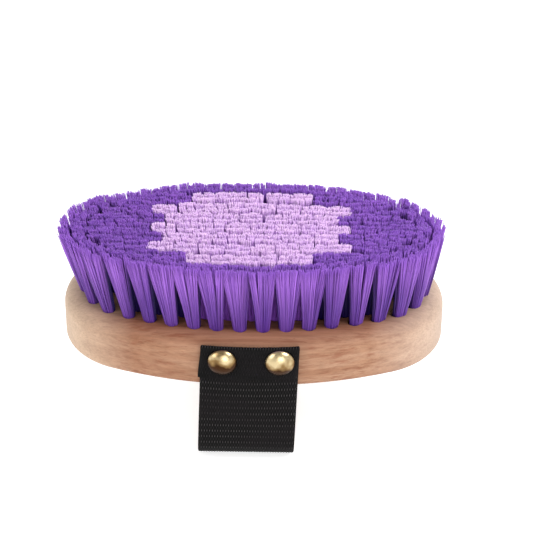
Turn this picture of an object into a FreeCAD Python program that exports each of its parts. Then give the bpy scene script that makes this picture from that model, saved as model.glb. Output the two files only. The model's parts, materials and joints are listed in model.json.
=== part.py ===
"""Oval body brush for horses: beech block, tufted face and a nailed webbing hand strap.

Frame: +X along the block, +Y to the rear long side, +Z up through the bristles.
The origin is on the floor, under the middle of the strap's palm band.
"""
import FreeCAD, Part
import math
import os
import Sketcher

VECTOR = FreeCAD.Vector

# Driving dimensions, in millimetres unless the name says otherwise.
SIZES = {
    "block_length": 158.4,
    "block_width": 83.2,
    "block_end_radius": 33.0,
    "block_thickness": 22.4,
    "block_upper_edge_radius": 7.5,
    "block_lower_edge_radius": 2.2,
    "loop_drop": 38.0,
    "webbing_width": 40.0,
    "webbing_thickness": 1.6,
    "loop_corner_radius": 10.0,
    "pivot_below_block": 1.5,
    "pivot_gap": 0.36,
    "hem_top": 21.0,
    "hem_bottom": 6.5,
    "hem_fold_radius": 1.2,
    "nail_height": 14.3,
    "nail_spacing": 23.5,
    "nail_head_radius": 6.0,
    "nail_head_rise": 3.2,
    "nail_head_wall": 0.7,
    "nail_shank_radius": 1.0,
    "nail_shank_length": 12.0,
    "nail_point_length": 3.0,
    "nail_bite": 0.05,
    "ring_inset": 9.5,
    "ring_tufts": 36,
    "tuft_pitch": 9.35,
    "tuft_height": 28.5,
    "tuft_floor_radius": 2.3,
    "tuft_tip_radius": 3.2,
    "hole_radius": 2.65,
    "hole_depth": 6.8,
    "anchor_bite": 0.4,
    "anchor_thickness": 0.4,
    "anchor_width": 1.6,
    "anchor_above_floor": 0.8,
    "fan_lengthwise": 0.10,
    "fan_widthwise": -0.02,
    "patch_half_length": 38.0,
    "patch_half_width": 30.0,
}

# How many tufts stand in each row inside the outer ring, rear row first.
ROW_TUFTS = [11, 12, 13, 14, 13, 12, 11]
COLOUR_NAMES = {"v": "violet", "l": "lilac"}

doc = FreeCAD.newDocument("body_brush")
sheet = doc.addObject("Spreadsheet::Sheet", "Sizes")
for line, (alias, number) in enumerate(SIZES.items(), start=1):
    sheet.set(f"A{line}", alias)
    sheet.set(f"B{line}", str(number))
    sheet.setAlias(f"B{line}", alias)
doc.recompute()

SUB_PARTS = []


def size(alias):
    """The number in one cell of the sheet."""
    return float(sheet.get(alias))


def bind(thing, prop, formula):
    """Bind a property to a formula in which every sheet alias stands in curly brackets."""
    thing.setExpression(prop, formula.replace("{", "Sizes.").replace("}", ""))


def keep(thing, name):
    """Name an object as a sub-part that gets its own file."""
    thing.Label = name
    SUB_PARTS.append(thing)
    return thing


def frame_at(point, axis):
    """A placement whose own Z lies along axis."""
    return FreeCAD.Placement(point, FreeCAD.Rotation(VECTOR(0, 0, 1), axis))


# Derived sizes

HALF_LENGTH = size("block_length") / 2
HALF_WIDTH = size("block_width") / 2
END_RADIUS = size("block_end_radius")
BLOCK_BASE = size("loop_drop")
BLOCK_TOP = BLOCK_BASE + size("block_thickness")
TIP_PLANE = BLOCK_TOP + size("tuft_height")
SIDE_FORMULA = (
    "((({block_length} / 2 - {block_end_radius})^2 + ({block_width} / 2)^2 - {block_end_radius}^2)"
    " / ({block_width} - 2 * {block_end_radius}))"
)


def side_radius(half_length, half_width, end_radius):
    """Radius of the long side arcs that meet the end arcs of an oval without a corner."""
    reach = half_length - end_radius
    return (reach**2 + half_width**2 - end_radius**2) / (2 * (half_width - end_radius))


SIDE_RADIUS = side_radius(HALF_LENGTH, HALF_WIDTH, END_RADIUS)


def oval_joint(half_length, half_width, end_radius):
    """Where a long side arc meets an end arc, in the quarter with x and y positive."""
    reach = half_length - end_radius
    tilt = math.atan2(reach, side_radius(half_length, half_width, end_radius) - half_width)
    return reach + end_radius * math.sin(tilt), end_radius * math.cos(tilt)


# Sketch helpers

def origin_plane(body, role):
    """One of a body's own origin planes."""
    return next(item for item in body.Origin.OriginFeatures if item.Role == role)


def new_sketch(body, name, role):
    """A sketch on one of the body's own origin planes."""
    sketch = body.newObject("Sketcher::SketchObject", name)
    sketch.AttachmentSupport = [(origin_plane(body, role), "")]
    sketch.MapMode = "FlatFace"
    return sketch


def arc_through(start, middle, end):
    """A circular arc through three points given as pairs; it always runs anticlockwise."""
    first, second, third = (VECTOR(x, y, 0) for x, y in (start, middle, end))
    if (second - first).cross(third - second).z < 0:
        first, third = third, first
    return Part.Arc(first, second, third)


def add_outline(sketch, corners, arcs):
    """A closed outline whose corners are bound to formulas.

    corners holds (x formula, x, y formula, y); arcs maps the index of an edge to its
    (radius formula, point on the arc), and every other edge is straight.
    """
    spots = [(x, y) for _, x, _, y in corners]
    count = len(spots)
    edges = []
    for index, start in enumerate(spots):
        end = spots[(index + 1) % count]
        if index in arcs:
            edges.append(arc_through(start, arcs[index][1], end))
        else:
            edges.append(Part.LineSegment(VECTOR(*start, 0), VECTOR(*end, 0)))
    sketch.addGeometry(edges, False)
    drawn = sketch.Geometry
    constraints = []
    formulas = []

    def hold(constraint, formula=None):
        if formula:
            formulas.append((len(constraints), formula))
        constraints.append(constraint)

    for index, spot in enumerate(spots):
        before = (index - 1) % count
        here = end_near(drawn[index], spot)
        join = Sketcher.Constraint("Coincident", before, end_near(drawn[before], spot), index, here)
        hold(join)
        x_formula, x, y_formula, y = corners[index]
        for kind, axis, formula, number in (
            ("DistanceX", -2, x_formula, x),
            ("DistanceY", -1, y_formula, y),
        ):
            if formula == "0":
                hold(Sketcher.Constraint("PointOnObject", index, here, axis))
            else:
                hold(Sketcher.Constraint(kind, -1, 1, index, here, number), formula)
    for index, (formula, _) in arcs.items():
        hold(Sketcher.Constraint("Radius", index, drawn[index].Radius), formula)
    sketch.addConstraint(constraints)
    for tag, formula in formulas:
        bind(sketch, f"Constraints[{tag}]", formula)


def end_near(edge, spot):
    """Whether the start (1) or the end (2) of an edge is at a spot."""
    start_gap = (edge.StartPoint - VECTOR(*spot, 0)).Length
    end_gap = (edge.EndPoint - VECTOR(*spot, 0)).Length
    return 1 if start_gap < end_gap else 2


def pad(body, sketch, name, formula, midplane=False):
    """Pad a sketch by a bound length."""
    feature = body.newObject("PartDesign::Pad", name)
    feature.Profile = sketch
    feature.Midplane = midplane
    bind(feature, "Length", formula)
    sketch.Visibility = False
    return feature


# Wooden block

def level_edges(feature, height):
    """Names of the edges of a feature that lie level at a height above its sketch."""
    return [
        f"Edge{number}"
        for number, edge in enumerate(feature.Shape.Edges, start=1)
        if edge.BoundBox.ZLength < 0.001 and abs(edge.BoundBox.ZMin - height) < 0.001
    ]


def block_blank():
    """The rounded oval block before it is drilled."""
    body = doc.addObject("PartDesign::Body", "BlockBlank")
    sketch = new_sketch(body, "BlockOutline", "XY_Plane")
    joint_x, joint_y = oval_joint(HALF_LENGTH, HALF_WIDTH, END_RADIUS)
    right = arc_through((joint_x, -joint_y), (HALF_LENGTH, 0), (joint_x, joint_y))
    rear = arc_through((joint_x, joint_y), (0, HALF_WIDTH), (-joint_x, joint_y))
    left = arc_through((-joint_x, joint_y), (-HALF_LENGTH, 0), (-joint_x, -joint_y))
    front = arc_through((-joint_x, -joint_y), (0, -HALF_WIDTH), (joint_x, -joint_y))
    for arc in (right, rear, left, front):
        sketch.addGeometry(arc, False)
    for index in range(4):
        sketch.addConstraint(Sketcher.Constraint("Tangent", index, 2, (index + 1) % 4, 1))
    reach = HALF_LENGTH - END_RADIUS
    for index, sign in ((0, 1), (2, -1)):
        sketch.addConstraint(Sketcher.Constraint("PointOnObject", index, 3, -1))
        tag = sketch.addConstraint(Sketcher.Constraint("DistanceX", -1, 1, index, 3, sign * reach))
        bind(sketch, f"Constraints[{tag}]", f"{sign} * ({{block_length}} / 2 - {{block_end_radius}})")
        tag = sketch.addConstraint(Sketcher.Constraint("Radius", index, END_RADIUS))
        bind(sketch, f"Constraints[{tag}]", "{block_end_radius}")
    for index in (1, 3):
        tag = sketch.addConstraint(Sketcher.Constraint("Radius", index, SIDE_RADIUS))
        bind(sketch, f"Constraints[{tag}]", SIDE_FORMULA)
    shape = pad(body, sketch, "BlockSlab", "{block_thickness}")
    for rim, height in (("upper", size("block_thickness")), ("lower", 0)):
        doc.recompute()
        edges = level_edges(shape, height)
        rounded = body.newObject("PartDesign::Fillet", f"Rim_{rim}")
        rounded.Base = (shape, edges)
        bind(rounded, "Radius", f"{{block_{rim}_edge_radius}}")
        shape = rounded
    body.Placement.Base = VECTOR(0, 0, BLOCK_BASE)
    return body


# Tufts

def oval_wire(half_length, half_width, end_radius):
    """A closed oval of four arcs that starts at the middle of its front side."""
    joint_x, joint_y = oval_joint(half_length, half_width, end_radius)
    stops = [
        (0, -half_width),
        (joint_x, -joint_y),
        (half_length, 0),
        (joint_x, joint_y),
        (0, half_width),
        (-joint_x, joint_y),
        (-half_length, 0),
        (-joint_x, -joint_y),
        (0, -half_width),
    ]
    side = side_radius(half_length, half_width, end_radius)
    lean = math.asin(joint_x / side) / 2
    near = (side * math.sin(lean), side * math.cos(lean) - side + half_width)
    front_right = arc_through(stops[0], (near[0], -near[1]), stops[1])
    right = arc_through(stops[1], stops[2], stops[3])
    rear = arc_through(stops[3], stops[4], stops[5])
    left = arc_through(stops[5], stops[6], stops[7])
    front_left = arc_through(stops[7], (-near[0], -near[1]), stops[8])
    arcs = (front_right, right, rear, left, front_left)
    return Part.Wire([arc.toShape() for arc in arcs])


RING = (
    HALF_LENGTH - size("ring_inset"),
    HALF_WIDTH - size("ring_inset"),
    END_RADIUS - size("ring_inset"),
)


def ring_height_at(x):
    """How far the ring of outer tufts lies from the block's long axis at one x."""
    half_length, half_width, end_radius = RING
    joint_x, _ = oval_joint(*RING)
    if abs(x) < joint_x:
        side = side_radius(*RING)
        return half_width - side + math.sqrt(side**2 - x**2)
    return math.sqrt(end_radius**2 - (abs(x) - half_length + end_radius) ** 2)


def ring_roots():
    """Hole mouths round the edge, half a pitch to each side of the front middle."""
    count = int(size("ring_tufts"))
    stops = oval_wire(*RING).discretize(Number=2 * count + 1)
    return [(stop.x, stop.y) for stop in stops[1::2]]


def tuft_mark(x, y):
    """Lilac inside a plain oval patch in the middle of the face, violet round it."""
    reach = math.hypot(x / size("patch_half_length"), y / size("patch_half_width"))
    return "l" if reach < 1 else "v"


def row_roots(row):
    """Hole mouths and colours of one inner row; rows follow the curve of the ring."""
    count = ROW_TUFTS[row]
    middle = (len(ROW_TUFTS) - 1) / 2
    share = (middle - row) / (middle + 1)
    roots = []
    for index in range(count):
        x = (index - (count - 1) / 2) * size("tuft_pitch")
        y = share * ring_height_at(x)
        roots.append((x, y, tuft_mark(x, y)))
    return roots


def tuft_axis(x, y):
    """The way a tuft leans: outwards along the block, hardly at all across it."""
    axis = VECTOR(size("fan_lengthwise") * x, size("fan_widthwise") * y, size("tuft_height"))
    return axis.normalize()


def floor_point(x, y):
    """The middle of a hole's floor."""
    axis = tuft_axis(x, y)
    return VECTOR(x, y, BLOCK_TOP) - axis * size("hole_depth")


def drilled_hole(name, x, y):
    """The drill's path, which runs on past the top of the block."""
    drill = doc.addObject("Part::Cylinder", f"Hole_{name}")
    bind(drill, "Radius", "{hole_radius}")
    bind(drill, "Height", "2 * {hole_depth}")
    drill.Placement = frame_at(floor_point(x, y), tuft_axis(x, y))
    return drill


def tuft_cone(name, x, y):
    """A tuft, from the floor of its hole to past the trimming plane."""
    cone = doc.addObject("Part::Cone", f"Tuft_{name}")
    bind(cone, "Radius1", "{tuft_floor_radius}")
    bind(cone, "Radius2", "{tuft_tip_radius}")
    bind(cone, "Height", "{tuft_height} + {hole_depth} + {tuft_tip_radius}")
    cone.Placement = frame_at(floor_point(x, y), tuft_axis(x, y))
    return cone


def anchor_wire(name, x, y):
    """The flat wire that a tuft is folded round, driven across its hole into the wood."""
    wire = doc.addObject("Part::Box", f"Anchor_{name}")
    bind(wire, "Length", "2 * ({hole_radius} + {anchor_bite})")
    bind(wire, "Width", "{anchor_thickness}")
    bind(wire, "Height", "{anchor_width}")
    place = frame_at(floor_point(x, y), tuft_axis(x, y))
    half_length = size("hole_radius") + size("anchor_bite")
    corner = VECTOR(-half_length, -size("anchor_thickness") / 2, size("anchor_above_floor"))
    wire.Placement = place.multiply(FreeCAD.Placement(corner, FreeCAD.Rotation()))
    return wire


def group(name, things):
    """A compound of separate solids."""
    compound = doc.addObject("Part::Compound", name)
    compound.Links = things
    return compound


def trimming_block():
    """Everything above the flat face that the brush is trimmed to, from well outside the block."""
    slab = doc.addObject("Part::Box", "Trimming")
    bind(slab, "Length", "{block_length} * 2")
    bind(slab, "Width", "{block_width} * 2")
    bind(slab, "Height", "{tuft_height}")
    slab.Placement.Base = VECTOR(-size("block_length"), -size("block_width"), TIP_PLANE)
    return slab


def tuft_row(row_name, roots):
    """The holes, anchors and tufts of one row; each colour is a sub-part of its own."""
    holes = []
    anchors = []
    cones = {}
    for number, (x, y, mark) in enumerate(roots, start=1):
        name = f"{row_name}_{number}"
        holes.append(drilled_hole(name, x, y))
        anchors.append(anchor_wire(name, x, y))
        cones.setdefault(mark, []).append(tuft_cone(name, x, y))
    keep(group(f"Anchors_{row_name}", anchors), f"anchor_wires_{row_name}")
    waste = group(f"Waste_{row_name}", anchors + [trimming])
    for mark, members in cones.items():
        colour = COLOUR_NAMES[mark]
        tufts = doc.addObject("Part::Cut", f"Tufts_{row_name}_{colour}")
        tufts.Base = group(f"Cones_{row_name}_{colour}", members)
        tufts.Tool = waste
        keep(tufts, f"tufts_{row_name}_{colour}")
    return holes


# Webbing strap: two nailed hems, two legs and the palm band, hinged where the webbing bends

WEBBING = size("webbing_thickness")
LEG_Y = HALF_WIDTH + WEBBING / 2
UPPER_PIVOT = BLOCK_BASE - size("pivot_below_block")
LOWER_PIVOT = WEBBING / 2 + size("loop_corner_radius")
SETBACK = WEBBING / 2 + size("pivot_gap")

UPPER_PIVOT_FORMULA = "({loop_drop} - {pivot_below_block})"
LOWER_PIVOT_FORMULA = "({webbing_thickness} / 2 + {loop_corner_radius})"
SETBACK_FORMULA = "({webbing_thickness} / 2 + {pivot_gap})"
LEG_Y_FORMULA = "({block_width} / 2 + {webbing_thickness} / 2)"
ROUND_END = "{webbing_thickness} / 2"
DIAGONAL = math.sqrt(0.5)


def hem_layer(body, name, inner_formula, inner, length_formula, base_formula):
    """One layer of webbing that follows the block's curved side."""
    sketch = new_sketch(body, f"{name}Outline", "XY_Plane")
    bind(sketch, ".AttachmentOffset.Base.z", base_formula)
    half = size("webbing_width") / 2
    centre_y = SIDE_RADIUS - HALF_WIDTH
    centre_formula = f"({SIDE_FORMULA} - {{block_width}} / 2)"
    outer = inner + WEBBING
    outer_formula = f"({inner_formula} + {{webbing_thickness}})"

    def edge_y(radius):
        return centre_y - math.sqrt(radius**2 - half**2)

    def edge_y_formula(radius_formula):
        return f"{centre_formula} - sqrt({radius_formula}^2 - ({{webbing_width}} / 2)^2)"

    width_formula = "{webbing_width} / 2"
    corners = [
        (f"-{width_formula}", -half, edge_y_formula(outer_formula), edge_y(outer)),
        (width_formula, half, edge_y_formula(outer_formula), edge_y(outer)),
        (width_formula, half, edge_y_formula(inner_formula), edge_y(inner)),
        (f"-{width_formula}", -half, edge_y_formula(inner_formula), edge_y(inner)),
    ]
    arcs = {
        0: (outer_formula, (0, centre_y - outer)),
        2: (inner_formula, (0, centre_y - inner)),
    }
    add_outline(sketch, corners, arcs)
    return pad(body, sketch, name, length_formula)


def strap_hem(name, side):
    """The strap's end: a layer down the wood to the upper bend, and its end folded back over it."""
    body = doc.addObject("PartDesign::Body", f"Hem_{side}")
    hem_layer(
        body, "WoodLayer", SIDE_FORMULA, SIDE_RADIUS,
        f"{{loop_drop}} + {{hem_top}} - {UPPER_PIVOT_FORMULA} - {SETBACK_FORMULA}",
        f"{UPPER_PIVOT_FORMULA} + {SETBACK_FORMULA}",
    )
    outer = hem_layer(
        body, "FoldedLayer", f"({SIDE_FORMULA} + {{webbing_thickness}})", SIDE_RADIUS + WEBBING,
        "{hem_top} - {hem_bottom}",
        "{loop_drop} + {hem_bottom}",
    )
    doc.recompute()
    top = BLOCK_BASE + size("hem_top")
    folded = [
        f"Edge{number}"
        for number, edge in enumerate(outer.Shape.Edges, start=1)
        if edge.BoundBox.ZMin > top - 1e-6 and edge.BoundBox.XLength > size("webbing_width") / 2
    ]
    rounding = body.newObject("PartDesign::Fillet", "Fold")
    rounding.Base = (outer, folded)
    bind(rounding, "Radius", "{hem_fold_radius}")
    if side == "rear":
        body.Placement.Rotation = FreeCAD.Rotation(VECTOR(0, 0, 1), 180)
    return pierced(body, name, side)


def nail_places(side):
    """Where the two nails of one side enter the webbing: the points and the outward axes."""
    sign = -1 if side == "front" else 1
    centre = VECTOR(0, -sign * (SIDE_RADIUS - HALF_WIDTH), BLOCK_BASE + size("nail_height"))
    places = []
    for x in (-size("nail_spacing") / 2, size("nail_spacing") / 2):
        angle = math.asin(x / SIDE_RADIUS)
        axis = VECTOR(math.sin(angle), sign * math.cos(angle), 0)
        places.append((centre + axis * (SIDE_RADIUS + 2 * WEBBING), axis))
    return places


def nail_holes(side, radius_formula):
    """The paths of one side's nails, a little longer than their shanks."""
    holes = []
    for number, (point, axis) in enumerate(nail_places(side), start=1):
        hole = doc.addObject("Part::Cylinder", f"NailPath_{side}_{number}")
        bind(hole, "Radius", radius_formula)
        bind(hole, "Height", "{nail_shank_length} + {nail_head_rise}")
        hole.Placement = frame_at(point - axis * size("nail_shank_length"), axis)
        holes.append(hole)
    return holes


def pierced(body, name, side):
    """A hem with the two holes that its nails make."""
    cut = doc.addObject("Part::Cut", f"Pierced_{side}")
    cut.Base = body
    cut.Tool = group(f"HemHoles_{side}", nail_holes(side, "{nail_shank_radius}"))
    return keep(cut, name)


def strap_leg(name, sign):
    """A straight length of webbing with a round end at the upper bend."""
    body = doc.addObject("PartDesign::Body", f"Leg_{name}")
    sketch = new_sketch(body, "LegOutline", "YZ_Plane")
    inner = sign * (LEG_Y - WEBBING / 2)
    outer = sign * (LEG_Y + WEBBING / 2)
    inner_formula = f"{sign} * ({LEG_Y_FORMULA} - {{webbing_thickness}} / 2)"
    outer_formula = f"{sign} * ({LEG_Y_FORMULA} + {{webbing_thickness}} / 2)"
    foot = LOWER_PIVOT + SETBACK
    foot_formula = f"{LOWER_PIVOT_FORMULA} + {SETBACK_FORMULA}"
    crown = UPPER_PIVOT + WEBBING / 2
    crown_formula = f"{UPPER_PIVOT_FORMULA} + {{webbing_thickness}} / 2"
    corners = [
        (inner_formula, inner, foot_formula, foot),
        (outer_formula, outer, foot_formula, foot),
        (outer_formula, outer, UPPER_PIVOT_FORMULA, UPPER_PIVOT),
        (f"{sign} * {LEG_Y_FORMULA}", sign * LEG_Y, crown_formula, crown),
        (inner_formula, inner, UPPER_PIVOT_FORMULA, UPPER_PIVOT),
    ]
    shoulder = WEBBING / 2 * DIAGONAL
    arcs = {
        2: (ROUND_END, (sign * (LEG_Y + shoulder), UPPER_PIVOT + shoulder)),
        3: (ROUND_END, (sign * (LEG_Y - shoulder), UPPER_PIVOT + shoulder)),
    }
    add_outline(sketch, corners, arcs)
    pad(body, sketch, "LegWebbing", "{webbing_width}", midplane=True)
    return keep(body, name)


def palm_band(name):
    """The band under the hand, turned up at both ends to round ends at the lower bends."""
    body = doc.addObject("PartDesign::Body", "PalmBand")
    sketch = new_sketch(body, "BandOutline", "YZ_Plane")
    bend = size("loop_corner_radius")
    inside = HALF_WIDTH
    outside = HALF_WIDTH + WEBBING
    flat = LEG_Y - bend
    flat_formula = f"({LEG_Y_FORMULA} - {{loop_corner_radius}})"
    inside_formula = "({block_width} / 2)"
    outside_formula = "({block_width} / 2 + {webbing_thickness})"
    lower = (bend + WEBBING / 2) * DIAGONAL
    upper = (bend - WEBBING / 2) * DIAGONAL
    shoulder = WEBBING / 2 * DIAGONAL
    crown = LOWER_PIVOT + WEBBING / 2
    crown_formula = f"{LOWER_PIVOT_FORMULA} + {{webbing_thickness}} / 2"
    corners = [
        (f"-{flat_formula}", -flat, "0", 0),
        (flat_formula, flat, "0", 0),
        (outside_formula, outside, LOWER_PIVOT_FORMULA, LOWER_PIVOT),
        (LEG_Y_FORMULA, LEG_Y, crown_formula, crown),
        (inside_formula, inside, LOWER_PIVOT_FORMULA, LOWER_PIVOT),
        (flat_formula, flat, "{webbing_thickness}", WEBBING),
        (f"-{flat_formula}", -flat, "{webbing_thickness}", WEBBING),
        (f"-{inside_formula}", -inside, LOWER_PIVOT_FORMULA, LOWER_PIVOT),
        (f"-{LEG_Y_FORMULA}", -LEG_Y, crown_formula, crown),
        (f"-{outside_formula}", -outside, LOWER_PIVOT_FORMULA, LOWER_PIVOT),
    ]
    outer_bend = "{loop_corner_radius} + {webbing_thickness} / 2"
    inner_bend = "{loop_corner_radius} - {webbing_thickness} / 2"
    arcs = {
        1: (outer_bend, (flat + lower, LOWER_PIVOT - lower)),
        2: (ROUND_END, (LEG_Y + shoulder, LOWER_PIVOT + shoulder)),
        3: (ROUND_END, (LEG_Y - shoulder, LOWER_PIVOT + shoulder)),
        4: (inner_bend, (flat + upper, LOWER_PIVOT - upper)),
        6: (inner_bend, (-flat - upper, LOWER_PIVOT - upper)),
        7: (ROUND_END, (-LEG_Y + shoulder, LOWER_PIVOT + shoulder)),
        8: (ROUND_END, (-LEG_Y - shoulder, LOWER_PIVOT + shoulder)),
        9: (outer_bend, (-flat - lower, LOWER_PIVOT - lower)),
    }
    add_outline(sketch, corners, arcs)
    pad(body, sketch, "BandWebbing", "{webbing_width}", midplane=True)
    return keep(body, name)


# Nails

def domed_nail(name, point, axis):
    """A nail with a hollow domed head, a round shank and a point, turned about its own Z."""
    body = doc.addObject("PartDesign::Body", f"Nail_{name}")
    sketch = new_sketch(body, "NailProfile", "XZ_Plane")
    head = size("nail_head_radius")
    rise = size("nail_head_rise")
    wall = size("nail_head_wall")
    shank = size("nail_shank_radius")
    length = size("nail_shank_length")
    dome_formula = "(({nail_head_radius}^2 + {nail_head_rise}^2) / (2 * {nail_head_rise}))"
    dome = (head**2 + rise**2) / (2 * rise)
    inner = dome - wall

    def dome_height(radius, x):
        return rise - dome + math.sqrt(radius**2 - x**2)

    inner_formula = f"({dome_formula} - {{nail_head_wall}})"
    centre_formula = f"({{nail_head_rise}} - {dome_formula})"
    lip = math.sqrt(inner**2 - (dome - rise) ** 2)
    lip_formula = f"sqrt({inner_formula}^2 - {centre_formula}^2)"
    under_formula = f"{centre_formula} + sqrt({inner_formula}^2 - {{nail_shank_radius}}^2)"
    straight = length - size("nail_point_length")
    corners = [
        ("0", 0, "-{nail_shank_length}", -length),
        ("{nail_shank_radius}", shank, "{nail_point_length} - {nail_shank_length}", -straight),
        ("{nail_shank_radius}", shank, under_formula, dome_height(inner, shank)),
        (lip_formula, lip, "0", 0),
        ("{nail_head_radius}", head, "0", 0),
        ("0", 0, "{nail_head_rise}", rise),
    ]
    arcs = {
        2: (inner_formula, (lip / 2, dome_height(inner, lip / 2))),
        4: (dome_formula, (head / 2, dome_height(dome, head / 2))),
    }
    add_outline(sketch, corners, arcs)
    turned = body.newObject("PartDesign::Revolution", "NailTurned")
    turned.Profile = sketch
    turned.ReferenceAxis = (sketch, ["V_Axis"])
    turned.Angle = 360
    sketch.Visibility = False
    body.Placement = frame_at(point, axis)
    return keep(body, name)


# Assembly

blank = block_blank()
trimming = trimming_block()

block_holes = []
block_holes += tuft_row("ring", [(x, y, "v") for x, y in ring_roots()])
for row in range(len(ROW_TUFTS)):
    block_holes += tuft_row(f"row_{row + 1}", row_roots(row))

strap_hem("strap_front_hem", "front")
strap_hem("strap_rear_hem", "rear")
strap_leg("strap_front_leg", -1)
strap_leg("strap_rear_leg", 1)
palm_band("strap_palm_band")

for side in ("front", "rear"):
    block_holes += nail_holes(side, "{nail_shank_radius} - {nail_bite}")
    for hand, (point, axis) in zip(("left", "right"), nail_places(side)):
        domed_nail(f"nail_{side}_{hand}", point, axis)

block = doc.addObject("Part::Cut", "Block")
block.Base = blank
block.Tool = group("BlockHoles", block_holes)
keep(block, "block")

doc.recompute()

for thing in doc.Objects:
    if "Invalid" in thing.State or "Error" in thing.State:
        raise RuntimeError(f"{thing.Label} failed to compute: {thing.State}")

os.makedirs("parts", exist_ok=True)
for thing in SUB_PARTS:
    if thing.Shape.isNull() or not thing.Shape.isValid():
        raise RuntimeError(f"{thing.Label} has no valid shape")
    thing.Shape.exportStep(f"parts/{thing.Label}.step")
    print(thing.Label, len(thing.Shape.Solids), round(thing.Shape.Volume, 1))
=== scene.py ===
"""Looks of the horse body brush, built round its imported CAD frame. Lengths are in metres."""
import json
import math

import bmesh
import bpy
import numpy as np
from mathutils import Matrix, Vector


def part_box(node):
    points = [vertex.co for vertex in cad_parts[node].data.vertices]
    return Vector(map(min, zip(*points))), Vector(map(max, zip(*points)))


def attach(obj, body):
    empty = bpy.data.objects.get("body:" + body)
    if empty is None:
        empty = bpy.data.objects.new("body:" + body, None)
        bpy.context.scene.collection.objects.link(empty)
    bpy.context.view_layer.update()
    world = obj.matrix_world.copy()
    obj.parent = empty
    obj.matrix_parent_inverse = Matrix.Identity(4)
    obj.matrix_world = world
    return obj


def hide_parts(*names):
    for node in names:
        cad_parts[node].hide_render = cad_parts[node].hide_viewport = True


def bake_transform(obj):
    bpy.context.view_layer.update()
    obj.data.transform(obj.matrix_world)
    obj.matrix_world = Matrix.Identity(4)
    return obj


MM = 0.001
SEED = 11

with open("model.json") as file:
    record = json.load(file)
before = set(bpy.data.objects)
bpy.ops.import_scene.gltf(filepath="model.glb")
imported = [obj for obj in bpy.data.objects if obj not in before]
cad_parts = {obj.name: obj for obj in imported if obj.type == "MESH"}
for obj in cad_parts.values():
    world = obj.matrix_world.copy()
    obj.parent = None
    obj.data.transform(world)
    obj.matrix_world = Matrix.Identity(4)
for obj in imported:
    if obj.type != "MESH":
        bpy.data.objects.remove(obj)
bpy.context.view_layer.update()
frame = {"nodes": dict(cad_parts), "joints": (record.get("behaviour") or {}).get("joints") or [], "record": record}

JOINTS = {joint["name"]: joint for joint in frame["joints"]}
BLOCK_LOW, BLOCK_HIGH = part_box("block")
HEM_LOW, HEM_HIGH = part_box("strap_front_hem")
BAND_LOW, BAND_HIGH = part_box("strap_palm_band")
LEG_LOW, LEG_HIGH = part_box("strap_front_leg")
UPPER_PIVOT = Vector(JOINTS["strap_sway"]["pos_m"])
LOWER_PIVOT = Vector(JOINTS["front_bend"]["pos_m"])


# Material graphs

class Graph:
    """A material's node tree, with short ways to add nodes and join them."""

    def __init__(self, name):
        self.material = bpy.data.materials.new(name)
        self.material.use_nodes = True
        self.tree = self.material.node_tree
        self.shader = self.tree.nodes["Principled BSDF"]

    def node(self, kind, inputs=None, output=0, **settings):
        """Add a node, set and join its inputs, and give back one of its outputs."""
        made = self.tree.nodes.new(kind)
        for name, value in settings.items():
            setattr(made, name, value)
        for name, value in (inputs or {}).items():
            self.feed(made.inputs[name], value)
        return made.outputs[output]

    def feed(self, socket, value):
        """Join a socket to an output, or set it to a plain value."""
        if isinstance(value, bpy.types.NodeSocket):
            self.tree.links.new(value, socket)
        else:
            socket.default_value = value

    def set(self, **inputs):
        """Feed the shader's own sockets; an underscore stands for a space."""
        for name, value in inputs.items():
            self.feed(self.shader.inputs[name.replace("_", " ")], value)

    def place(self, scale):
        """The row frame's coordinates, scaled along each axis."""
        where = self.node("ShaderNodeTexCoord", output="Object")
        return self.node("ShaderNodeMapping", {"Vector": where, "Scale": scale})

    def noise(self, scale, detail=3.0, roughness=0.55, distortion=0.0):
        """Noise whose features are 1/scale metres long along each axis."""
        sockets = {
            "Vector": self.place(scale),
            "Scale": 1.0,
            "Detail": detail,
            "Roughness": roughness,
            "Distortion": distortion,
        }
        return self.node("ShaderNodeTexNoise", sockets)

    def position(self, axis):
        """The row frame's coordinate along one axis."""
        where = self.node("ShaderNodeTexCoord", output="Object")
        return self.node("ShaderNodeSeparateXYZ", {"Vector": where}, output=axis)

    def attribute(self, name):
        """A number stored on the mesh."""
        return self.node("ShaderNodeAttribute", output="Fac", attribute_name=name)

    def ramp(self, factor, *stops):
        """A colour or grey ramp with (position, colour) stops."""
        output = self.node("ShaderNodeValToRGB", {"Fac": factor})
        elements = output.node.color_ramp.elements
        while len(elements) < len(stops):
            elements.new(0.5)
        for element, (position, colour) in zip(elements, stops):
            element.position = position
            element.color = grey(colour) if isinstance(colour, (int, float)) else colour
        return output

    def mix(self, factor, first, second, blend="MIX"):
        """Mix two colours."""
        made = self.tree.nodes.new("ShaderNodeMix")
        made.data_type = "RGBA"
        made.blend_type = blend
        self.feed(made.inputs[0], factor)
        self.feed(made.inputs[6], first)
        self.feed(made.inputs[7], second)
        return made.outputs[2]

    def fade(self, value, start, end, top):
        """A number that goes evenly from 0 at start to top at end."""
        sockets = {"Value": value, "From Min": start, "From Max": end, "To Max": top}
        return self.node("ShaderNodeMapRange", sockets)

    def bump(self, height, distance, strength):
        """A bump whose full height is distance."""
        sockets = {"Height": height, "Distance": distance, "Strength": strength}
        return self.node("ShaderNodeBump", sockets)


def grey(value):
    """A grey as a colour with full alpha."""
    return (value, value, value, 1.0)


def srgb(red, green, blue):
    """A display colour, 0 to 255 each, as a linear colour."""
    def linear(value):
        share = value / 255
        return share / 12.92 if share <= 0.04045 else ((share + 0.055) / 1.055) ** 2.4

    return (linear(red), linear(green), linear(blue), 1.0)


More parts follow.
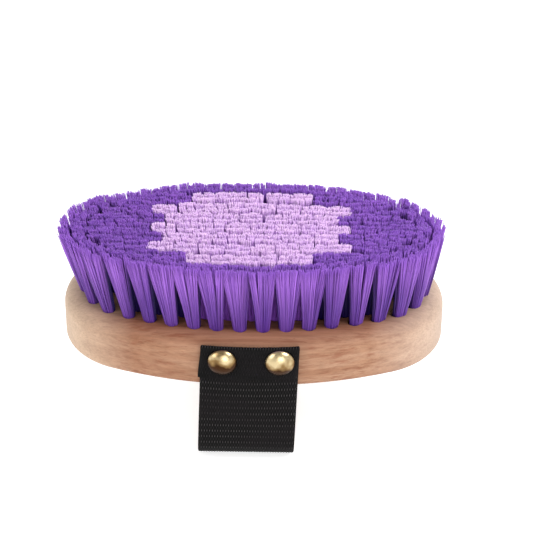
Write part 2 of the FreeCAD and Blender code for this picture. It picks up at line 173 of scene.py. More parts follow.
# Painted light on the block's two ends, and painted shade on its top band under the tufts.
PAINTED_END_LIGHT_START = 0.6
RIGHT_END_PAINTED_LIGHT = 0.62
LEFT_END_PAINTED_LIGHT = 0.55
PAINTED_TOP_SHADE_BAND = 6 * MM
PAINTED_TOP_SHADE = 0.75
FIBRE_RELIEF = 0.06 * MM
TWIST_RELIEF = 0.05 * MM
# Relief of the brass's cloudy patches, and where the painted dark reflection fades out up the nail heads.
CLOUD_RELIEF = 0.05 * MM
DARK_REFLECTION_START = 3 * MM
DARK_REFLECTION_END = 9 * MM
DARK_REFLECTION_FADE = 0.6


def beech():
    """Bare sanded beech: long grain bands, fine fibres and faint ray flecks, with painted light paling the ends
    and painted shade on the top band under the tufts.
    """
    graph = Graph("beech")
    broad = graph.noise((7, 70, 150), detail=2.0, distortion=0.4)
    streak = graph.noise((9, 520, 640), detail=4.0, roughness=0.65, distortion=0.15)
    fibre = graph.noise((45, 1300, 1600), detail=4.0, roughness=0.65)
    fleck = graph.noise((300, 1900, 2300), detail=1.0)
    tone = graph.ramp(
        broad,
        (0.32, srgb(154, 105, 76)),
        (0.50, srgb(171, 126, 97)),
        (0.68, srgb(188, 147, 119)),
    )
    bands = graph.ramp(streak, (0.32, srgb(206, 176, 164)), (0.50, grey(0.88)), (0.66, grey(1.0)))
    banded = graph.mix(0.85, tone, bands, "MULTIPLY")
    flecked = graph.mix(graph.ramp(fleck, (0.66, 0.0), (0.72, 0.5)), banded, srgb(138, 90, 68))
    across = graph.position("X")
    up = graph.position("Z")
    # Painted light: both ends of the block are paler, the right end more than the left.
    end_light_start = PAINTED_END_LIGHT_START * BLOCK_HIGH.x
    right_end_light = graph.fade(across, end_light_start, BLOCK_HIGH.x, RIGHT_END_PAINTED_LIGHT)
    left_end_light = graph.fade(across, -end_light_start, -BLOCK_HIGH.x, LEFT_END_PAINTED_LIGHT)
    # Painted shade: the top band of the block is darkened where the tufts shade it.
    top_shade = graph.fade(up, BLOCK_HIGH.z - PAINTED_TOP_SHADE_BAND, BLOCK_HIGH.z, PAINTED_TOP_SHADE)
    top_shaded = graph.mix(top_shade, flecked, srgb(204, 176, 176), "MULTIPLY")
    end_lit = graph.mix(right_end_light, top_shaded, srgb(220, 200, 182))
    end_lit = graph.mix(left_end_light, end_lit, srgb(236, 216, 190))
    fibres = graph.ramp(fibre, (0.32, grey(0.6)), (0.62, grey(1.0)))
    graph.set(
        Base_Color=graph.mix(0.45, end_lit, fibres, "MULTIPLY"),
        Roughness=graph.ramp(fibre, (0.3, 0.66), (0.7, 0.52)),
        Specular_IOR_Level=0.3,
        Normal=graph.bump(fibre, FIBRE_RELIEF, 0.5),
    )
    return graph.material


def bristle(name, painted_shade_colour, root, body, pale, tip):
    """Satin synthetic filament: tones of its own, painted shade towards the roots and among the rows, and painted
    light on the trimmed ends.
    """
    graph = Graph(name)
    tone = graph.attribute("tone")
    along = graph.attribute("along")
    shade = graph.mix(tone, body, pale)
    # Painted shade: the filament darkens towards its root.
    rise = graph.ramp(along, (0.05, 0.0), (0.7, 1.0))
    root_shaded = graph.mix(rise, graph.mix(0.8, shade, root), shade)
    # Painted light: the filament is paler at its trimmed end.
    lit_ends = graph.ramp(along, (0.88, 0.0), (1.0, 1.0))
    lit_and_shaded = graph.mix(lit_ends, root_shaded, graph.mix(0.6, shade, tip))
    graph.set(
        # Painted shade: the stored depth number mixes in the shade colour among the rows and at the feet.
        Base_Color=graph.mix(graph.attribute("depth"), lit_and_shaded, painted_shade_colour),
        Roughness=graph.ramp(tone, (0.0, 0.38), (1.0, 0.5)),
        Specular_IOR_Level=0.45,
    )
    return graph.material


def webbing():
    """Black polypropylene webbing: satin yarns, with painted highlights on their crowns and painted shade in the
    low yarns and on the hem flap.
    """
    graph = Graph("webbing")
    lift = graph.attribute("lift")
    twist = graph.noise((2600, 2600, 700), detail=2.0)
    # Painted light and shade: the stored lift number lights the yarn crowns and darkens the low yarns and the hem
    # flap.
    yarn = graph.ramp(lift, (0.25, srgb(8, 8, 8)), (0.6, srgb(32, 30, 30)), (0.95, srgb(84, 80, 80)))
    rubbed = graph.ramp(graph.noise((25, 25, 70), detail=2.0), (0.42, 0.0), (0.62, 0.6))
    yarn = graph.mix(rubbed, yarn, srgb(25, 21, 23))
    graph.set(
        Base_Color=graph.mix(0.5, yarn, graph.ramp(twist, (0.3, 0.35), (0.7, 1.0)), "MULTIPLY"),
        Roughness=graph.ramp(twist, (0.3, 0.8), (0.7, 0.65)),
        Specular_IOR_Level=0.1,
        Normal=graph.bump(twist, TWIST_RELIEF, 0.6),
    )
    return graph.material


def brass():
    """Pale polished brass with cloudy patches and handling marks, and a painted dark reflection low on the heads,
    darker on the left head.
    """
    graph = Graph("brass")
    cloud = graph.noise((170, 170, 170), detail=2.0)
    marks = graph.noise((900, 900, 2600), detail=2.0)
    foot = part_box("nail_front_left")[0].z
    # Painted reflection: each head darker towards its foot, and the left head darker than the right.
    level = graph.fade(
        graph.position("Z"), foot + DARK_REFLECTION_START, foot + DARK_REFLECTION_END, DARK_REFLECTION_FADE
    )
    painted_reflection = graph.node("ShaderNodeMath", {0: level, 1: graph.attribute("painted_reflection")}, operation="ADD")
    cloud_and_reflection = graph.node("ShaderNodeMath", {0: painted_reflection, 1: cloud}, operation="ADD")
    reflected_brass = graph.ramp(
        cloud_and_reflection,
        (0.60, srgb(66, 42, 24)),
        (0.82, srgb(142, 114, 74)),
        (1.00, srgb(206, 186, 144)),
    )
    graph.set(
        Base_Color=reflected_brass,
        Metallic=1.0,
        Roughness=graph.ramp(marks, (0.3, 0.26), (0.75, 0.38)),
        Normal=graph.bump(cloud, CLOUD_RELIEF, 0.35),
    )
    return graph.material


def anchor_steel():
    """Drawn steel wire with fine lengthwise lines."""
    graph = Graph("anchor_steel")
    lines = graph.noise((200, 4000, 4000), detail=2.0)
    graph.set(
        Base_Color=graph.ramp(lines, (0.3, srgb(120, 120, 122)), (0.7, srgb(172, 172, 174))),
        Metallic=1.0,
        Roughness=graph.ramp(lines, (0.3, 0.45), (0.7, 0.3)),
    )
    return graph.material


MATERIALS = {
    "beech": beech(),
    # For each bristle, the shade colour is painted shade among the rows, root is painted shade near the block and
    # tip is painted light at the ends.
    "violet_bristle": bristle(
        "violet_bristle",
        painted_shade_colour=srgb(30, 10, 84),
        root=srgb(78, 40, 138),
        body=srgb(90, 44, 152),
        pale=srgb(170, 110, 218),
        tip=srgb(148, 88, 208),
    ),
    "lilac_bristle": bristle(
        "lilac_bristle",
        painted_shade_colour=srgb(146, 80, 202),
        root=srgb(172, 106, 210),
        body=srgb(214, 160, 244),
        pale=srgb(248, 210, 255),
        tip=srgb(248, 216, 255),
    ),
    "webbing": webbing(),
    "brass": brass(),
    "anchor_steel": anchor_steel(),
}


# Meshes

def new_piece(name, vertices, faces, slot, attributes):
    """A mesh object with its material and numbers stored on its points."""
    mesh = bpy.data.meshes.new(name)
    mesh.from_pydata(np.asarray(vertices).tolist(), [], faces)
    mesh.update()
    for key, values in attributes.items():
        layer = mesh.attributes.new(key, "FLOAT", "POINT")
        layer.data.foreach_set("value", np.asarray(values, np.float32).ravel())
    mesh.polygons.foreach_set("use_smooth", [True] * len(mesh.polygons))
    mesh.materials.append(MATERIALS[slot])
    piece = bpy.data.objects.new(name, mesh)
    bpy.context.scene.collection.objects.link(piece)
    return piece


def smooth_step(value, low, high):
    """0 below low, 1 above high, and an even rise between."""
    share = np.clip((value - low) / (high - low), 0, 1)
    return share * share * (3 - 2 * share)


# Bristles

SAME_POINT = 0.001 * MM
TIP_LAYER = 0.01 * MM
FLOOR_SEARCH = 1.2 * MM
FLOOR_LAYER = 0.05 * MM
FILAMENTS = 280
FILAMENT_SIDES = 3
FILAMENT_RADIUS = 0.18 * MM
TIP_RADIUS = 0.17 * MM
CLUMPS = 7
CLUMP_PULL = 0.24
CLUMP_TRIM = 0.25 * MM
BUNDLE_RADIUS = 2.35 * MM
SPREAD_ALONG = 5.2 * MM
SPREAD_ACROSS = 2.15 * MM
HALF_GAP = 0.95 * MM
REAR_SPLAY = 1.5 * MM
RING_SPREAD = 0.6 * MM
END_SPREAD = 2.6 * MM
# Painted shade among the rows and at the feet, and painted light on the ring's outward filaments.
GAP_START = 0.1 * MM
GAP_END = 2.2 * MM
GAP_SHADE = 0.8
FOOT_START = 5 * MM
FOOT_END = 16 * MM
FOOT_SHADE = 0.2
RING_PAINTED_LIGHT = 0.5
TUFT_TONES = 0.25
CLUMP_TONES = 0.5
FILAMENT_TONES = 0.45
SPREAD_POWER = 0.95
TIP_SQUARENESS = 3.0
TIP_SCATTER = 0.22 * MM
TUFT_LEAN = 0.3 * MM
TRIM_SCATTER = 0.09 * MM
TRIM_LIMIT = 0.6 * MM
TIP_SHIFT = np.array([-1.3 * MM, 0, 0])
PLACE_SCATTER = 0.04
TUFT_SIZES = (0.94, 1.06)
GAP_SIZES = (0.6, 1.2)
GIRTHS = (0.88, 1.12)
BOW_SCATTER = 0.15 * MM
ROOT_PINCH = 0.85
OUTWARD_EDGE = 0.3
STATIONS = (0.35, 0.7, 1.0)
GOLDEN_ANGLE = math.pi * (3 - math.sqrt(5))


def islands(node):
    """The corner positions of each separate solid in a CAD node."""
    mesh = frame["nodes"][node].data
    points = np.zeros(len(mesh.vertices) * 3, np.float32)
    mesh.vertices.foreach_get("co", points)
    points = points.reshape(-1, 3)
    _, same = np.unique(np.round(points / SAME_POINT), axis=0, return_inverse=True)
    same = same.ravel()
    parent = list(range(same.max() + 1))

    def root(index):
        while parent[index] != index:
            parent[index] = parent[parent[index]]
            index = parent[index]
        return index

    for polygon in mesh.polygons:
        corners = [root(same[corner]) for corner in polygon.vertices]
        for corner in corners[1:]:
            parent[corner] = corners[0]
    owners = np.array([root(index) for index in same])
    return [points[owners == owner] for owner in np.unique(owners)]


def tuft_line(points):
    """The middle of a tuft's floor and of its trimmed tip."""
    tip = np.unique(points[points[:, 2] > points[:, 2].max() - TIP_LAYER], axis=0).mean(0)
    floor = points[points[:, 2] < points[:, 2].min() + FLOOR_SEARCH].mean(0)
    for _ in range(3):
        axis = (tip - floor) / np.linalg.norm(tip - floor)
        height = points @ axis
        floor = np.unique(points[height < height.min() + FLOOR_LAYER], axis=0).mean(0)
    return floor, tip


def sunflower(count, turn):
    """Evenly spread places in a unit disc."""
    number = np.arange(count)
    reach = np.sqrt((number + 0.5) / count)
    angle = number * GOLDEN_ANGLE + turn
    return np.stack([reach * np.cos(angle), reach * np.sin(angle)], 1)


def squared(disc):
    """A unit disc's places moved out towards a square with round corners."""
    length = np.linalg.norm(disc, axis=1) + 1e-9
    ways = np.abs(disc) / length[:, None]
    fill = (ways**TIP_SQUARENESS).sum(1) ** (-1 / TIP_SQUARENESS)
    return disc * fill[:, None]


def bundle(node, floor, tip, random):
    """The points, tones with painted light, heights and painted shade of one tuft's filaments, folded in a front
    and a rear half.
    """
    mouth = floor + (tip - floor) * (BLOCK_HIGH.z - floor[2]) / (tip[2] - floor[2])
    turned, size, inset = tip_frame(node, tip)
    wander = np.append(random.normal(0, TUFT_LEAN, 2), random.normal(0, TRIM_SCATTER))
    splay = REAR_SPLAY * max(tip[1] / BLOCK_HIGH.y, 0)
    tip = tip + TIP_SHIFT + wander - np.append(turned[1] * inset, 0) + np.array([0, splay, 0])
    disc = sunflower(FILAMENTS, random.uniform(0, 2 * math.pi))
    disc += random.normal(0, PLACE_SCATTER, disc.shape)
    middles = sunflower(CLUMPS, random.uniform(0, 2 * math.pi))
    clump = np.argmin(((disc[:, None, :] - middles[None, :, :]) ** 2).sum(2), axis=1)
    gathered = disc + (middles[clump] - disc) * CLUMP_PULL
    open_tips = squared(gathered) * size * random.uniform(*TUFT_SIZES)
    open_tips[:, 1] += HALF_GAP * random.uniform(*GAP_SIZES) * np.sign(disc[:, 1])
    tip_offset = open_tips @ turned
    tip_offset += random.normal(0, TIP_SCATTER, (FILAMENTS, 2))
    root_offset = (disc * BUNDLE_RADIUS) @ turned
    bow = random.normal(0, BOW_SCATTER, (FILAMENTS, 2))
    trim = random.normal(0, TRIM_SCATTER, FILAMENTS) + random.normal(0, CLUMP_TRIM, CLUMPS)[clump]
    trim = trim.clip(-TRIM_LIMIT, TRIM_LIMIT)
    corner = np.arange(FILAMENT_SIDES) * 2 * math.pi / FILAMENT_SIDES
    circle = random.uniform(0, 2 * math.pi, FILAMENTS)[:, None] + corner[None, :]
    girth = random.uniform(*GIRTHS, FILAMENTS)[:, None]
    centres = [floor + np.column_stack([root_offset * ROOT_PINCH, np.zeros(FILAMENTS)])]
    for share in STATIONS:
        open_out = share**SPREAD_POWER
        offset = root_offset + (tip_offset - root_offset) * open_out + bow * math.sin(math.pi * share)
        centres.append(mouth + (tip - mouth) * share + np.column_stack([offset, trim * share]))
    along = np.array([0.0] + list(STATIONS))
    rings = []
    for share, centre in zip(along, centres):
        radius = girth * (FILAMENT_RADIUS + (TIP_RADIUS - FILAMENT_RADIUS) * share**3)
        ring = np.repeat(centre[:, None, :], FILAMENT_SIDES, axis=1)
        ring[:, :, 0] += radius * np.cos(circle)
        ring[:, :, 1] += radius * np.sin(circle)
        rings.append(ring)
    points = np.stack(rings, 1)
    tuft_tone = random.uniform(0, TUFT_TONES)
    clump_tone = random.uniform(0, CLUMP_TONES, CLUMPS)[clump]
    filament_tones = tuft_tone + clump_tone + random.uniform(0, FILAMENT_TONES, FILAMENTS)
    heights = np.broadcast_to(along[None, :, None], points.shape[:3])
    outward = np.zeros(FILAMENTS)
    if "ring" in node:
        outward = smooth_step(disc[:, 1], -OUTWARD_EDGE, OUTWARD_EDGE)
    # Painted light: the ring tufts' outward-facing filaments grow paler towards their tips.
    tones_and_painted_light = filament_tones[:, None, None] + RING_PAINTED_LIGHT * outward[:, None, None] * heights**2
    # Painted shade: darker below the tips among the rows and towards the feet, but not on the ring's outward
    # filaments.
    below = tip[2] - points[..., 2]
    shade = GAP_SHADE * smooth_step(below, GAP_START, GAP_END)
    shade += FOOT_SHADE * smooth_step(below, FOOT_START, FOOT_END)
    painted_shades = shade * (1 - outward[:, None, None])
    return points.reshape(-1, 3), tones_and_painted_light.ravel(), heights.ravel(), painted_shades.ravel()


def tip_frame(node, tip):
    """The ways along and across a row at a tip, how far the tips reach each way, and their inset."""
    along = np.array([1.0, 0.0])
    across = np.array([0.0, 1.0])
    size = np.array([SPREAD_ALONG, SPREAD_ACROSS])
    inset = 0.0
    if "ring" in node:
        across = np.array([tip[0] / BLOCK_HIGH.x**2, tip[1] / BLOCK_HIGH.y**2])
        across = across / np.linalg.norm(across)
        along = np.array([-across[1], across[0]])
        inset = END_SPREAD * abs(tip[0] / BLOCK_HIGH.x) ** 2
        size = size + np.array([RING_SPREAD, inset])
    return np.array([along, across]), size, inset


def filament_faces(count):
    """Faces of count closed filaments whose points follow one another."""
    levels = len(STATIONS) + 1
    size = levels * FILAMENT_SIDES
    faces = []
    for first in range(0, count * size, size):
        for level in range(levels - 1):
            low = first + level * FILAMENT_SIDES
            high = low + FILAMENT_SIDES
            for side in range(FILAMENT_SIDES):
                after = (side + 1) % FILAMENT_SIDES
                faces.append((low + side, low + after, high + after, high + side))
        faces.append(tuple(first + size - FILAMENT_SIDES + side for side in range(FILAMENT_SIDES)))
    return faces


def make_bristles():
    """Filament bundles in place of every CAD tuft, one piece for each CAD node."""
    random = np.random.default_rng(SEED)
    for node in sorted(frame["nodes"]):
        if not node.startswith("tufts_"):
            continue
        lines = [tuft_line(points) for points in islands(node)]
        tufts = [bundle(node, floor, tip, random) for floor, tip in lines]
        points = np.concatenate([tuft[0] for tuft in tufts])
        numbers = {
            # tone carries the random tones plus painted light on the ring's outward filaments.
            "tone": np.concatenate([tuft[1] for tuft in tufts]),
            "along": np.concatenate([tuft[2] for tuft in tufts]),
            # depth carries the painted shade among the rows and at the feet.
            "depth": np.concatenate([tuft[3] for tuft in tufts]),
        }
        slot = "violet_bristle" if node.endswith("violet") else "lilac_bristle"
        faces = filament_faces(len(tufts) * FILAMENTS)
        piece = new_piece(node.replace("tufts", "filaments"), points, faces, slot, numbers)
        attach(piece, "brush")
        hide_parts(node)


# Webbing strap

LAYER = LEG_HIGH.y - LEG_LOW.y
HALF_WEBBING = BAND_HIGH.x
LEG_Y = -UPPER_PIVOT.y
BEND = LOWER_PIVOT.z - LAYER / 2
FOLD_RADIUS = LAYER / 2
FOLD_BASE = HEM_HIGH.z - LAYER
FLAP_LENGTH = 13.4 * MM
YARNS = 72
YARN_POINTS = 4
PICK_ROW = 3.0 * MM
STATION = 0.42 * MM
RELIEF = 0.16 * MM
LOW_YARN = 0.7
FLAT_YARN = 0.5
# Painted shade on the folded hem flap.
HEM_PAINTED_SHADE = 0.4
VISIBLE_LAYER = LAYER - 2 * RELIEF
LEG_BOW = 0.5 * MM
STRAP_LEAN = 2.4 * MM
LEAN_START = 0.8
HEM_SKEW = math.radians(-3.5)
NAIL_DIMPLE = 0.4 * MM
NAIL_DIMPLE_REACH = 6.0 * MM
CROWN_EDGE = 0.25
MELTED_EDGE = (0.3 * MM, 1.1 * MM)
SELVEDGE_ROUND = 0.8 * MM
SELVEDGE_FLAT = (0.2 * MM, 2.2 * MM)
SKIN = 0.05 * MM
EDGE_LAYER = 0.01 * MM
HUG_REACH = 2 * MM
FLAP_BLEND = 1 * MM
LEG_OVERLAP = 0.3 * MM

# Each stretch of the strap's front half, from the middle of the palm band: length and turn.
STRETCHES = (
    (LEG_Y - BEND, 0.0),
    (BEND * math.pi / 2, -math.pi / 2),
    (FOLD_BASE - LOWER_PIVOT.z, 0.0),
    (FOLD_RADIUS * math.pi, math.pi),
    (FLAP_LENGTH, 0.0),
)
STRAP_HALF = sum(length for length, _ in STRETCHES)
LEG_START = STRETCHES[0][0] + STRETCHES[1][0]
MID_LEG = LEG_START + (UPPER_PIVOT.z - LOWER_PIVOT.z) / 2
PIVOT_PLACE = LEG_START + UPPER_PIVOT.z - LOWER_PIVOT.z
FLAP_START = STRAP_HALF - FLAP_LENGTH


def strap_point(distance):
    """Where the strap's middle line is at a distance from the palm band's middle: y, z, heading."""
    y, z, heading = 0.0, BAND_LOW.z + LAYER / 2, math.pi
    for length, turn in STRETCHES:
        step = min(distance, length)
        if turn:
            radius = length / turn
            angle = heading + turn * step / length
            y += radius * (math.sin(angle) - math.sin(heading))
            z -= radius * (math.cos(angle) - math.cos(heading))
            heading = angle
        else:
            y += step * math.cos(heading)
            z += step * math.sin(heading)
        distance -= step
        if distance <= 0:
            break
    return y, z, heading


def side_bow():
    """Radius of the block's long side, from the curve of the hem that lies on it."""
    points = islands("strap_front_hem")[0]
    edge = points[np.abs(points[:, 0]) > HALF_WEBBING - EDGE_LAYER]
    dip = edge[:, 1].min() - HEM_LOW.y
    return (HALF_WEBBING**2 + dip**2) / (2 * dip)


SIDE_RADIUS = side_bow()


def nail_spots():
    """Across-strap position and height of the nails in one hem."""
    spots = []
    for hand in ("left", "right"):
        low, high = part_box(f"nail_front_{hand}")
        spots.append(((low.x + high.x) / 2, (low.z + high.z) / 2))
    return spots


def weave(places, across, phase):
    """Height of the yarns, 0 to 1: rows of raised yarns a pick row apart, lower ones between."""
    pitch = 2 * HALF_WEBBING / YARNS
    yarn = np.clip(((across + HALF_WEBBING) / pitch).astype(int), 0, YARNS - 1)
    inside = (across + HALF_WEBBING) / pitch - yarn
    crown = CROWN_EDGE + (1 - CROWN_EDGE) * np.sin(math.pi * np.clip(inside, 0, 1))
    raised = (yarn + phase) % 2
    wave = 0.5 + 0.5 * np.cos(2 * math.pi * places[:, None] / PICK_ROW + math.pi * raised[None, :])
    level = np.where(raised == 0, 1.0, LOW_YARN)[None, :]
    melted = smooth_step(STRAP_HALF - places, *MELTED_EDGE)[:, None]
    return FLAT_YARN + (crown[None, :] * wave * level - FLAT_YARN) * melted


def strap_offsets(places, across, line):
    """How far the strap leans along X, and how far nails and block push it along Y."""
    depth = (BLOCK_LOW.z - line[:, 1]) / BLOCK_LOW.z
    lean = -STRAP_LEAN * np.clip((depth + LEAN_START) / (1 + LEAN_START), 0, 1)
    flap = smooth_step(places, FLAP_START - FOLD_RADIUS, STRAP_HALF)
    lean = lean + math.tan(HEM_SKEW) * FLAP_LENGTH * flap
    hugging = smooth_step(line[:, 1], LOWER_PIVOT.z, BLOCK_LOW.z + HUG_REACH)[:, None]
    push = hugging * (SIDE_RADIUS - np.sqrt(SIDE_RADIUS**2 - across[None, :] ** 2))
    on_flap = smooth_step(places, FLAP_START - FLAP_BLEND, FLAP_START + FLAP_BLEND)[:, None]
    for x, z in nail_spots():
        gap = (across[None, :] - x) ** 2 + (line[:, 1][:, None] - z) ** 2
        push = push + on_flap * NAIL_DIMPLE * np.exp(-gap / (2 * NAIL_DIMPLE_REACH**2))
    return lean[:, None], push


def strap_piece(name, start, end, rear, closed_start=False, closed_end=False):
    """One stretch of webbing with its woven relief, from start to end along the strap."""
    stations = max(2, int(round((end - start) / STATION)))
    places = np.linspace(start, end, stations + 1)
    across = np.linspace(-HALF_WEBBING, HALF_WEBBING, YARNS * YARN_POINTS + 1)
    line = np.array([strap_point(place) for place in places])
    from_edge = HALF_WEBBING - np.abs(across)
    selvedge = np.sqrt(1 - (1 - np.clip(from_edge / SELVEDGE_ROUND, 0, 1)) ** 2)
    outside = weave(places, across, 0)
    inside = weave(places, across, 1)
    relief = RELIEF * smooth_step(from_edge, *SELVEDGE_FLAT)
    outer_height = (VISIBLE_LAYER / 2 + relief * (2 * outside - 1)) * selvedge + SKIN
    inner_height = -(VISIBLE_LAYER / 2 + relief * (2 * inside - 1)) * selvedge - SKIN
    lean, push = strap_offsets(places, across, line)
    heading = line[:, 2][:, None]
    leg_share = (line[:, 1] - LOWER_PIVOT.z) / (UPPER_PIVOT.z - LOWER_PIVOT.z)
    on_leg = (places > LEG_START) & (leg_share < 1)
    bow = np.where(on_leg, LEG_BOW * np.sin(math.pi * np.clip(leg_share, 0, 1)) ** 2, 0)[:, None]

    def surface(height):
        y = line[:, 0][:, None] - np.sin(heading) * (height + bow) + push
        z = line[:, 1][:, None] + np.cos(heading) * (height + bow)
        return np.stack([across[None, :] + lean + 0 * y, y, z], 2)

    loops = np.concatenate([surface(outer_height), surface(inner_height)[:, ::-1]], 1)
    folded = smooth_step(places, FLAP_START - FOLD_RADIUS, FLAP_START + FOLD_RADIUS)[:, None]
    # Painted light and shade: lift follows the yarn height and is lowered on the folded hem flap as painted shade.
    lift = np.concatenate([outside, inside[:, ::-1]], 1) * (1 - HEM_PAINTED_SHADE * folded)
    if rear:
        loops = loops * np.array([1, -1, 1])
    around = loops.shape[1]
    faces = []
    for row in range(len(places) - 1):
        for index in range(around):
            after = (index + 1) % around
            low = row * around
            high = low + around
            faces.append((low + index, low + after, high + after, high + index))
    points = [loops.reshape(-1, 3)]
    painted_light_values = [lift.ravel()]
    for closed, row, turn in ((closed_start, 0, -1), (closed_end, -1, 1)):
        if not closed:
            continue
        first = sum(len(block) for block in points)
        points.append(loops[row])
        painted_light_values.append(lift[row] * 0)
        for index in range(len(across) - 1):
            back = around - 1 - index
            face = (first + index, first + index + 1, first + back - 1, first + back)
            faces.append(face[::turn])
    if rear:
        faces = [face[::-1] for face in faces]
    return new_piece(name, np.concatenate(points), faces, "webbing", {"lift": np.concatenate(painted_light_values)})


def make_strap():
    """The strap in five pieces, parted in the palm band, in both legs and at the open pivot."""

    front_hem = strap_piece("strap_front_upper", MID_LEG, STRAP_HALF, False, closed_end=True)
    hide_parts("strap_front_hem", "strap_front_leg")
    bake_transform(front_hem)

    front_palm = strap_piece("strap_front_lower", 0.0, MID_LEG, False)
    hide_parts("strap_palm_band")
    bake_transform(front_palm)

    rear_palm = strap_piece("strap_rear_lower", 0.0, MID_LEG, True)
    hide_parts("strap_palm_band")
    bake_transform(rear_palm)

    rear_leg = strap_piece(
        "strap_rear_leg_webbing", MID_LEG, PIVOT_PLACE + LEG_OVERLAP, True, closed_end=True
    )
    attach(rear_leg, "rear_leg")
    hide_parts("strap_rear_leg")

    rear_hem = strap_piece(
        "strap_rear_upper", PIVOT_PLACE, STRAP_HALF, True, closed_start=True, closed_end=True
    )
    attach(rear_hem, "brush")
    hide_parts("strap_rear_hem")


# Nails

NAIL_SEGMENTS = 72
NAIL_WALL = 0.7 * MM
NAIL_RIM = 0.15 * MM
SHANK_RADIUS = 1.0 * MM
DOME_FULLNESS = 1.25
NAIL_RISE = 3.2 * MM
DOME_STEPS = 22
INNER_STEPS = 10
RIM_SHARES = (0.25, 0.5, 0.75, 1)
SHANK_TAPER = 0.75
DENT = 0.02 * MM
DENT_WAVES = 3
DENT_TURN = 1e5
MERGE_REACH = 0.0005 * MM
NAIL_PAINTED_REFLECTION = {"left": -0.14, "right": 0.06}


def nail_profile(head, rise, length):
    """Radius and height pairs from the crown, round the rim and under the dome, to the point."""
    angles = np.linspace(0, math.pi / 2, DOME_STEPS)
    outer = [(head * math.sin(angle), rise * math.cos(angle) ** DOME_FULLNESS) for angle in angles]
    rim = [
        (head - NAIL_WALL * share, -NAIL_RIM * math.sin(math.pi * share))
        for share in RIM_SHARES
    ]
    shank_angle = math.asin(SHANK_RADIUS / (head - NAIL_WALL))
    inner = [
        ((head - NAIL_WALL) * math.sin(angle), (rise - NAIL_WALL) * math.cos(angle))
        for angle in np.linspace(math.pi / 2, shank_angle, INNER_STEPS)
    ]
    shank = [(SHANK_RADIUS, -length * SHANK_TAPER), (0.0, -length)]
    return outer + rim + inner[1:] + shank


def make_nails():
    """A turned, lightly dented domed nail in place of each CAD nail."""
    random = np.random.default_rng(SEED + 1)
    for side, sign in (("front", -1), ("rear", 1)):
        for hand in ("left", "right"):
            node = f"nail_{side}_{hand}"
            points = islands(node)[0]
            crown = points[np.argmax(points[:, 1] * sign)]
            point = points[np.argmin(points[:, 1] * sign)]
            axis = Vector((crown - point).tolist())
            low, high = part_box(node)
            head = (high.z - low.z) / 2
            length = axis.length - NAIL_RISE
            base = Vector(crown.tolist()) - axis.normalized() * NAIL_RISE
            turn = axis.to_track_quat("Z", "Y").to_matrix()
            profile = nail_profile(head, NAIL_RISE, length)
            vertices = []
            dents = random.normal(0, DENT, (DENT_WAVES, 2))
            for radius, height in profile:
                for segment in range(NAIL_SEGMENTS):
                    angle = 2 * math.pi * segment / NAIL_SEGMENTS
                    ripple = sum(
                        wave * math.cos((order + 2) * angle + phase * DENT_TURN)
                        for order, (wave, phase) in enumerate(dents)
                    )
                    lift = ripple * radius / head
                    spot = Vector((radius * math.cos(angle), radius * math.sin(angle), height + lift))
                    vertices.append(base + turn @ spot)
            faces = []
            for level in range(len(profile) - 1):
                for segment in range(NAIL_SEGMENTS):
                    after = (segment + 1) % NAIL_SEGMENTS
                    here = level * NAIL_SEGMENTS
                    below = here + NAIL_SEGMENTS
                    faces.append((here + segment, below + segment, below + after, here + after))
            # Painted reflection: the left head is made darker than the right.
            painted_reflection = {"painted_reflection": np.full(len(vertices), NAIL_PAINTED_REFLECTION[hand])}
            piece = new_piece(f"domed_{node}", [tuple(v) for v in vertices], faces, "brass", painted_reflection)
            merge_doubles(piece)
            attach(piece, "brush")
            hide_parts(node)


def merge_doubles(piece):
    """Join the points that lie on one another, as at the crown and the point of a turned piece."""
    work = bmesh.new()
    work.from_mesh(piece.data)
    bmesh.ops.remove_doubles(work, verts=work.verts, dist=MERGE_REACH)
    bmesh.ops.dissolve_degenerate(work, edges=work.edges, dist=MERGE_REACH)
    bmesh.ops.recalc_face_normals(work, faces=work.faces)
    work.to_mesh(piece.data)
    work.free()


# CAD nodes that stay

def dress_frame():
    """Materials for the CAD nodes that show as they are."""
    slots = {part["node"]: part["material_slot"] for part in frame["record"]["subparts"]}
    for name, node in frame["nodes"].items():
        node.data.materials.clear()
        node.data.materials.append(MATERIALS[slots[name]])


# Stage

FLOOR_GREY = 0.6
FLOOR_GLOW = 0.72
FLOOR_REACH = 6.0
HORIZON_HEIGHT = 0.12
OVERHEAD_HEIGHT = 0.45
OVERHEAD_LIGHT = 0.34
# Each light's name, place, size and power.
LIGHTS = (
    ("key", (0.7, -0.25, 0.9), 0.5, 8),
    ("fill", (-0.8, -0.45, 0.6), 0.6, 4),
    ("rim", (0.15, 0.9, 0.6), 0.7, 5),
    ("front", (0.25, -1.3, 0.45), 0.7, 5.5),
)


def add_area_light(name, location, target, size, power):
    """A soft square light aimed at a point."""
    data = bpy.data.lights.new(name, "AREA")
    data.size = size
    data.energy = power
    light = bpy.data.objects.new(name, data)
    light.location = location
    light.rotation_euler = (Vector(target) - Vector(location)).to_track_quat("-Z", "Y").to_euler()
    bpy.context.scene.collection.objects.link(light)


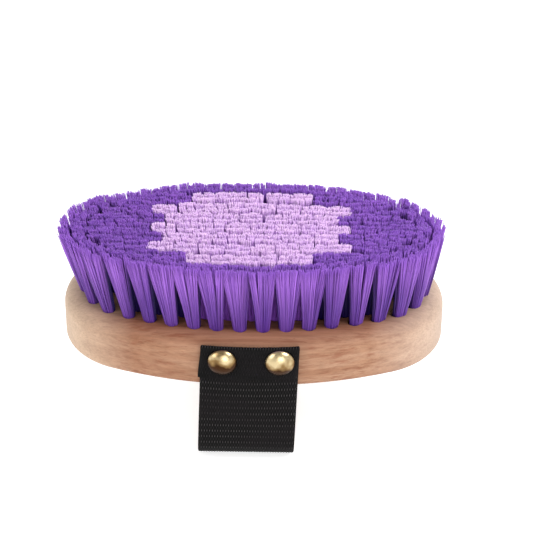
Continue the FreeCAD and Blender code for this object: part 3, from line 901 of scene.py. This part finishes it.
def make_surround():
    """A surround that is white at the horizon and dims overhead."""
    world = bpy.data.worlds.new("studio")
    world.use_nodes = True
    nodes = world.node_tree.nodes
    links = world.node_tree.links
    where = nodes.new("ShaderNodeTexCoord")
    parts = nodes.new("ShaderNodeSeparateXYZ")
    height = nodes.new("ShaderNodeMapRange")
    height.inputs["From Min"].default_value = HORIZON_HEIGHT
    height.inputs["From Max"].default_value = OVERHEAD_HEIGHT
    height.inputs["To Min"].default_value = 1.0
    height.inputs["To Max"].default_value = OVERHEAD_LIGHT
    links.new(where.outputs["Generated"], parts.inputs["Vector"])
    links.new(parts.outputs["Z"], height.inputs["Value"])
    links.new(height.outputs["Result"], nodes["Background"].inputs["Strength"])
    nodes["Background"].inputs["Color"].default_value = grey(1.0)
    bpy.context.scene.world = world


def make_stage():
    """A pale floor, a white surround and soft studio lights."""
    graph = Graph("pale_floor")
    graph.set(
        Base_Color=grey(FLOOR_GREY),
        Roughness=1.0,
        Specular_IOR_Level=0.0,
        Emission_Color=grey(1.0),
        Emission_Strength=FLOOR_GLOW,
    )
    mesh = bpy.data.meshes.new("floor")
    reach = FLOOR_REACH
    corners = [(-reach, -reach, 0), (reach, -reach, 0), (reach, reach, 0), (-reach, reach, 0)]
    mesh.from_pydata(corners, [], [(0, 1, 2, 3)])
    mesh.materials.append(graph.material)
    floor = bpy.data.objects.new("floor", mesh)
    bpy.context.scene.collection.objects.link(floor)
    make_surround()
    middle = (0, 0, BLOCK_HIGH.z)
    for name, location, size, power in LIGHTS:
        add_area_light(name, location, middle, size, power)


CAMERA_DISTANCE = 0.9
CAMERA_AZIMUTH = math.radians(1.45)
CAMERA_ELEVATION = math.radians(35)
SENSOR_WIDTH = 36
LENS = 139.0
SHIFT_X = 0.0388
SHIFT_Y = 0.0978


def make_camera():
    """A long lens that looks down at the middle of the block's underside from the front."""
    target = Vector((0, 0, BLOCK_LOW.z))
    level = math.cos(CAMERA_ELEVATION)
    away = Vector((
        math.sin(CAMERA_AZIMUTH) * level,
        -math.cos(CAMERA_AZIMUTH) * level,
        math.sin(CAMERA_ELEVATION),
    ))
    data = bpy.data.cameras.new("camera")
    data.sensor_width = SENSOR_WIDTH
    data.lens = LENS
    data.shift_x = SHIFT_X
    data.shift_y = SHIFT_Y
    camera = bpy.data.objects.new("camera", data)
    camera.location = target + away * CAMERA_DISTANCE
    camera.rotation_euler = (-away).to_track_quat("-Z", "Y").to_euler()
    bpy.context.scene.collection.objects.link(camera)
    bpy.context.scene.camera = camera


bpy.context.scene.view_settings.view_transform = "Standard"
make_camera()
make_stage()
dress_frame()
make_bristles()
make_strap()
make_nails()
